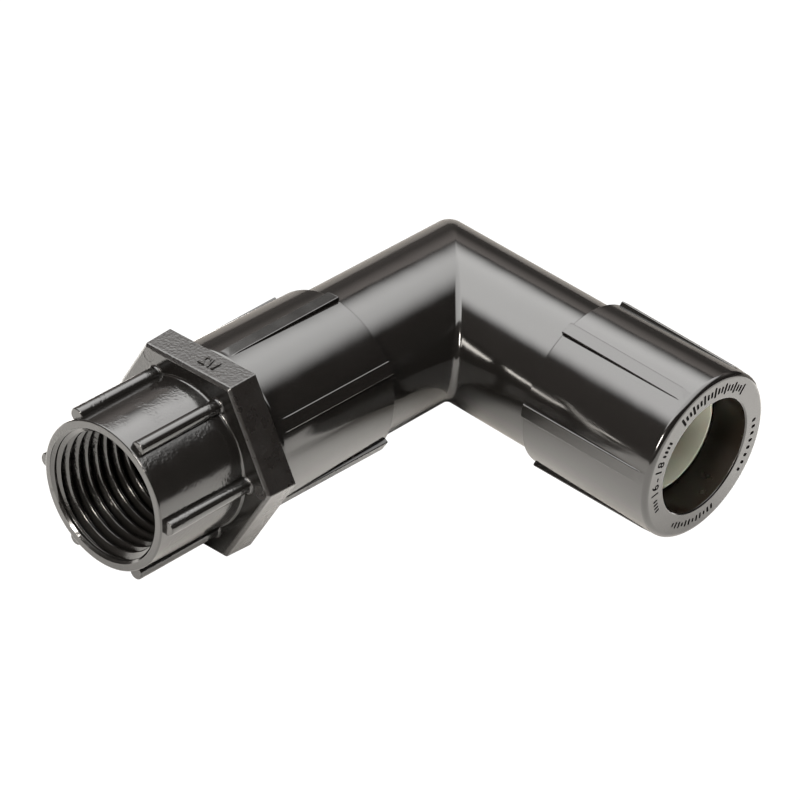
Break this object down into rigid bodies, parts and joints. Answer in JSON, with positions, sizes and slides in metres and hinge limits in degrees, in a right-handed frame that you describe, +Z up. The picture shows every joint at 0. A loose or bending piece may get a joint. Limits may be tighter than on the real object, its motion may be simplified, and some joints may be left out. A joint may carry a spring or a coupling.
{
  "type": "pipe elbow fitting",
  "caption": "Ninety-degree black plastic elbow for drip tubing, with a push-fit tube socket on one leg and a swivelling threaded adapter on the other.",
  "frame": {"origin": "under the middle of the bounding box, on the surface that the fitting lies on", "axes": "+X along the tube leg, out of its mouth; -Y along the adapter leg, out of its thread; +Z up, square to both legs"},
  "size_m": [0.0664, 0.0858, 0.0298],
  "materials": {
    "moulded_body": "polished moulded black ABS",
    "moulded_collar": "polished moulded black ABS",
    "moulded_adapter": "moulded black ABS, fine grain on the hexagon",
    "grip_ring": "moulded pale grey-green acetal",
    "seal": "moulded black rubber"
  },
  "bodies": {
    "elbow": {"elbow_body": "moulded_body", "tube_end_collar": "moulded_collar", "adapter_end_collar": "moulded_collar", "tube_end_seal": "seal", "adapter_end_seal": "seal"},
    "tube_ring": {"tube_end_grip_ring": "grip_ring"},
    "adapter_ring": {"adapter_end_grip_ring": "grip_ring"},
    "adapter": {"threaded_adapter": "moulded_adapter"}
  },
  "joints": [
    {"name": "tube_ring_float", "type": "slide", "parent": "elbow", "child": "tube_ring", "axis": [-1, 0, 0], "range_m": [0, 0.0012]},
    {"name": "adapter_ring_float", "type": "slide", "parent": "elbow", "child": "adapter_ring", "axis": [0, 1, 0], "range_m": [0, 0.0007]},
    {"name": "adapter_swivel", "type": "hinge", "parent": "adapter_ring", "child": "adapter", "pos_m": [-0.01654, -0.02396, 0.01493], "axis": [0, -1, 0], "continuous": true}
  ]
}
